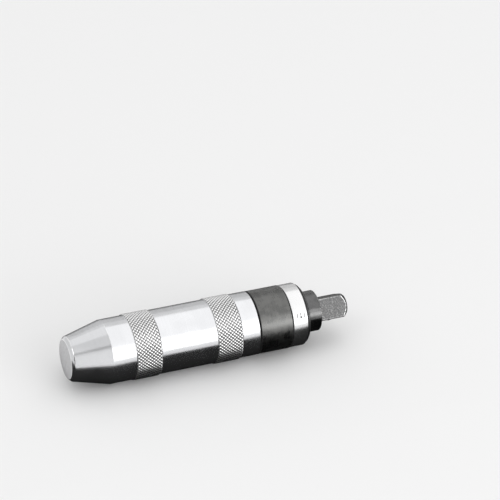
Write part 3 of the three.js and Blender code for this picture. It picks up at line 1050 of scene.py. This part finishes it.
makeSpindle()
makeBall("detentBall", "detent_ball", "detent")
makeBall("thrustBall", "thrust_ball", "spring_carrier")
print("spindle and balls are made")

# Inside: cross pin, spring cap and seat, O-rings
inside = {
    "pinChamfer": 0.8 * mm,
    "rounding": 0.15 * mm,
    "stubChamfer": 0.8 * mm,
    "stub": 3.5 * mm,
    "stubRadius": 10.35 * mm,
    "cupSteps": 10,
    "sealSides": 20,
}


def makeCrossPin():
    radius = lengthOf("cross_pin") / 2
    chamfer, rounding = inside["pinChamfer"], inside["rounding"]
    half = spindleRadius + nose["sleeveWall"]
    bm = spunPin([
        (-half, 0),
        (-half, radius - chamfer, rounding),
        (chamfer - half, radius, rounding),
        (half - chamfer, radius, rounding),
        (half, radius - chamfer, rounding),
        (half, 0),
    ], midStation("cross_pin"), driveTurn)
    makePiece("crossPin", bm, ("ground",), "spindle", ["cross_pin"])


def makeSpringCap():
    rear, front = stationsOf("spring_cap")
    edge, stub = outerRadius("spring_cap"), inside["stubRadius"]
    chamfer, rounding = inside["stubChamfer"], inside["rounding"]
    cupRadius = lengthOf("thrust_ball") / 2 + nose["gap"]
    middle = midStation("thrust_ball")
    mouth = math.acos((middle - front) / cupRadius)
    shares = [1 - step / inside["cupSteps"] for step in range(inside["cupSteps"])]
    cup = [
        (middle - cupRadius * math.cos(share * mouth), cupRadius * math.sin(share * mouth))
        for share in shares
    ]
    bm = turnedShape([
        (rear, 0),
        (rear, stub - chamfer, rounding),
        (rear + chamfer, stub, rounding),
        (rear + inside["stub"], stub, rounding),
        (rear + inside["stub"], edge, rounding),
        (front - chamfer, edge, rounding),
        (front, edge - chamfer, rounding),
        *cup,
        (middle - cupRadius, 0),
    ], steps=smallSteps)
    makePiece("springCap", bm, ("ground",), "spring_carrier", ["spring_cap"])


def makeSpringSeat():
    rear, front = stationsOf("spring_seat")
    edge, stub = outerRadius("spring_seat"), inside["stubRadius"]
    chamfer, rounding = inside["stubChamfer"], inside["rounding"]
    shoulder = front - inside["stub"]
    bm = turnedShape([
        (rear, 0),
        (rear, edge - chamfer, rounding),
        (rear + chamfer, edge, rounding),
        (shoulder, edge, rounding),
        (shoulder, stub, rounding),
        (front - chamfer, stub, rounding),
        (front, stub - chamfer, rounding),
        (front, 0),
    ], steps=smallSteps)
    makePiece("springSeat", bm, ("ground",), "housing", ["spring_seat"])


# A round section across the tool's axis, at a place, which a spin then sweeps
def roundSection(bm, radius, sides, place, filled):
    verts = bmesh.ops.create_circle(bm, cap_ends=filled, segments=sides, radius=radius)["verts"]
    bmesh.ops.rotate(
        bm, verts=verts, cent=(0, 0, 0), matrix=Matrix.Rotation(quarterTurn, 3, "X"))
    bmesh.ops.translate(bm, verts=verts, vec=place)


def makeSealRing(name, node, body):
    section = lengthOf(node) / 2
    bm = bmesh.new()
    place = placeAt(midStation(node), outerRadius(node) - section)
    roundSection(bm, section, inside["sealSides"], place, filled=False)
    spinAll(bm, smallSteps)
    makePiece(name, bm, ("rubber",), body, [node])


# Springs: a round wire section swept by screw turns, closer together at both ends
mainSpring = {
    "wire": 2.6 * mm, "turns": 8, "endTurns": 1.0, "endGap": 0.6 * mm, "steps": 48, "sides": 14}
detentSpring = {
    "wire": 0.6 * mm, "turns": 4.6, "endTurns": 0.8, "endGap": 0.45 * mm, "steps": 32, "sides": 10}


def springShape(spring, length, radius):
    bm = bmesh.new()
    wire, endTurns = spring["wire"], spring["endTurns"]
    roundSection(bm, wire / 2, spring["sides"], (wire / 2, 0, radius), filled=True)
    endPitch = wire + spring["endGap"]
    openTurns = spring["turns"] - 2 * endTurns
    pitch = (length - wire - 2 * endTurns * endPitch) / openTurns
    moving = bm.faces[:]
    for turns, rise in ((endTurns, endPitch), (openTurns, pitch), (endTurns, endPitch)):
        steps = round(turns * spring["steps"])
        moving = bmesh.ops.spin(
            bm, geom=moving, cent=(0, 0, 0), axis=(1, 0, 0), dvec=(rise * turns / steps, 0, 0),
            angle=-turns * fullTurn, steps=steps, use_merge=False, use_normal_flip=False,
            use_duplicate=False)["geom_last"]
    bmesh.ops.remove_doubles(bm, verts=bm.verts[:], dist=mergeDistance)
    return bm


def makeMainSpring():
    low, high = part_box("main_spring")
    radius = outerRadius("main_spring") - mainSpring["wire"] / 2
    bm = springShape(mainSpring, high.x - low.x, radius)
    bmesh.ops.translate(bm, verts=bm.verts[:], vec=(low.x, 0, axisHeight))
    piece = makePiece("mainSpring", bm, ("spring",), "housing", ["main_spring"])
    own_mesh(piece)


def makeDetentSpring():
    wire = detentSpring["wire"]
    ballRadius = lengthOf("detent_ball") / 2
    radius = ballRadius - nose["gap"] - wire / 2
    foot = detent["floor"] + nose["gap"]
    sag = math.sqrt(ballRadius ** 2 - (radius - wire / 2) ** 2)
    length = radiusOf(middleOf("detent_ball")) - sag - nose["gap"] - foot
    bm = springShape(detentSpring, length, radius)
    bmesh.ops.rotate(
        bm, verts=bm.verts[:], cent=(0, 0, 0), matrix=Matrix.Rotation(-quarterTurn, 3, "Y"))
    bmesh.ops.translate(bm, verts=bm.verts[:], vec=(0, 0, foot))
    standUp(bm, midStation("detent_ball"), ballTurn)
    piece = makePiece(
        "detentSpring", bm, ("spring",), "spindle", ["detent_spring"])
    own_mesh(piece)


makeCrossPin()
makeSpringCap()
makeSpringSeat()
makeSealRing("jointSeal", "joint_seal", "housing")
makeSealRing("spindleSeal", "spindle_o_ring", "spindle")
makeMainSpring()
makeDetentSpring()
print("inner pieces are made")

# Studio: a pale floor, soft boxes and an even white world
studio = {
    "floorSize": 8.0,
    "floorColour": grey(0.86),
    "floorPaper": {"metallic": 0.0, "specular": 0.1, "roughness": 0.9},
    "cardPaper": {"metallic": 0.0, "specular": 0.0, "roughness": 1.0},
    "world": 0.8,
}
# A soft box faces the tool: height is its angle above the front horizon, side its angle toward the
# drive. Its lengths are in metres
softBoxes = {
    "topBox": {
        "height": 84, "side": 27, "distance": 2.4, "wide": 1.94, "deep": 4.7, "radiance": 0.42},
    "frontBox": {
        "height": 19, "side": 0, "distance": 2.4, "wide": 4.0, "deep": 1.94, "radiance": 0.1},
    "keyBox": {
        "height": 20, "side": 27, "distance": 2.4, "wide": 1.94, "deep": 1.9, "radiance": 1.0},
    "keyCore": {
        "height": 15, "side": 27, "distance": 2.3, "wide": 1.94, "deep": 0.7, "radiance": 1.4},
    "leftBox": {
        "height": 73, "side": -40, "distance": 2.4, "wide": 1.1, "deep": 1.1, "radiance": 0.8},
    "tailBox": {
        "height": 116, "side": -8, "distance": 2.4, "wide": 1.0, "deep": 1.7, "radiance": 0.2},
}
# Cards that only the gloss sees, in millimetres: on the floor in front and behind, upright behind,
# past the drive and at the left, and one high up that the tail reflects
cards = {
    "frontCard": {"low": (-400, -84, 0.2), "high": (400, 0, 0.2), "colour": grey(0.026)},
    "floorCard": {"low": (-86, 0, 0.2), "high": (500, 110, 0.2), "colour": grey(0.1)},
    "backCard": {"low": (-86, 110, 0.2), "high": (150, 110, 30), "colour": grey(0.3)},
    "wallCard": {"low": (-86, 110, 30), "high": (150, 110, 95), "colour": grey(0.6)},
    "endCard": {"low": (350, -160, 1), "high": (350, 300, 260), "colour": grey(0.09)},
    "leftCard": {"low": (-800, -400, 1), "high": (-340, -400, 400), "colour": grey(0.04)},
    "tailCard": {"low": (-520, -680, 750), "high": (-75, -560, 850), "colour": grey(0.5)},
}


def paperMaterial(name, paper, colour):
    material, shader = startMaterial(name, paper)[:2]
    shader.inputs["Base Color"].default_value = colour
    shader.inputs["Roughness"].default_value = paper["roughness"]
    return material


def makeFloor():
    bm = bmesh.new()
    bmesh.ops.create_grid(bm, x_segments=1, y_segments=1, size=studio["floorSize"] / 2)
    floor = addObject("studioFloor", meshFrom("studioFloor", bm))
    floor.data.materials.append(
        paperMaterial("floorPaper", studio["floorPaper"], studio["floorColour"]))


def makeCard(name, card):
    low, high = Vector(card["low"]) * mm, Vector(card["high"]) * mm
    second, fourth = Vector((high.x, low.y, low.z)), Vector((low.x, high.y, high.z))
    if low.x == high.x:      # a card across the tool's axis
        second, fourth = Vector((low.x, high.y, low.z)), Vector((low.x, low.y, high.z))
    bm = bmesh.new()
    bm.faces.new([bm.verts.new(corner) for corner in (low, second, high, fourth)])
    piece = addObject(name, meshFrom(name, bm))
    piece.data.materials.append(paperMaterial(name, studio["cardPaper"], card["colour"]))
    piece.visible_camera = False
    piece.visible_diffuse = False
    piece.visible_transmission = False
    piece.visible_shadow = False


def makeSoftBox(name, box):
    height, side = math.radians(box["height"]), math.radians(box["side"])
    flat = math.cos(side)
    away = Vector((math.sin(side), -math.cos(height) * flat, math.sin(height) * flat))
    upward = Vector((0, math.sin(height), math.cos(height)))
    data = bpy.data.lights.new(name, "AREA")
    data.shape = "RECTANGLE"
    data.size, data.size_y = box["wide"], box["deep"]
    data.energy = box["radiance"] * math.pi * box["wide"] * box["deep"]
    light = addObject(name, data)
    light.location = placeAt(0, 0) + away * box["distance"]
    light.rotation_mode = "QUATERNION"
    facing = Matrix((upward.cross(away), upward, away)).transposed()
    light.rotation_quaternion = facing.to_quaternion()
    light.visible_camera = False


def makeWorld():
    world = bpy.data.worlds.new("studioWorld")
    bpy.context.scene.world = world
    world.use_nodes = True
    tree = world.node_tree
    tree.nodes.clear()
    sky = addNode(
        tree, "ShaderNodeBackground", {"Color": grey(1.0), "Strength": studio["world"]})
    output = addNode(tree, "ShaderNodeOutputWorld")
    tree.links.new(sky.outputs["Background"], output.inputs["Surface"])


makeFloor()
for boxName, boxValues in softBoxes.items():
    makeSoftBox(boxName, boxValues)
for cardName, cardValues in cards.items():
    makeCard(cardName, cardValues)
makeWorld()
bpy.context.scene.view_settings.view_transform = "Standard"
print("studio is set")
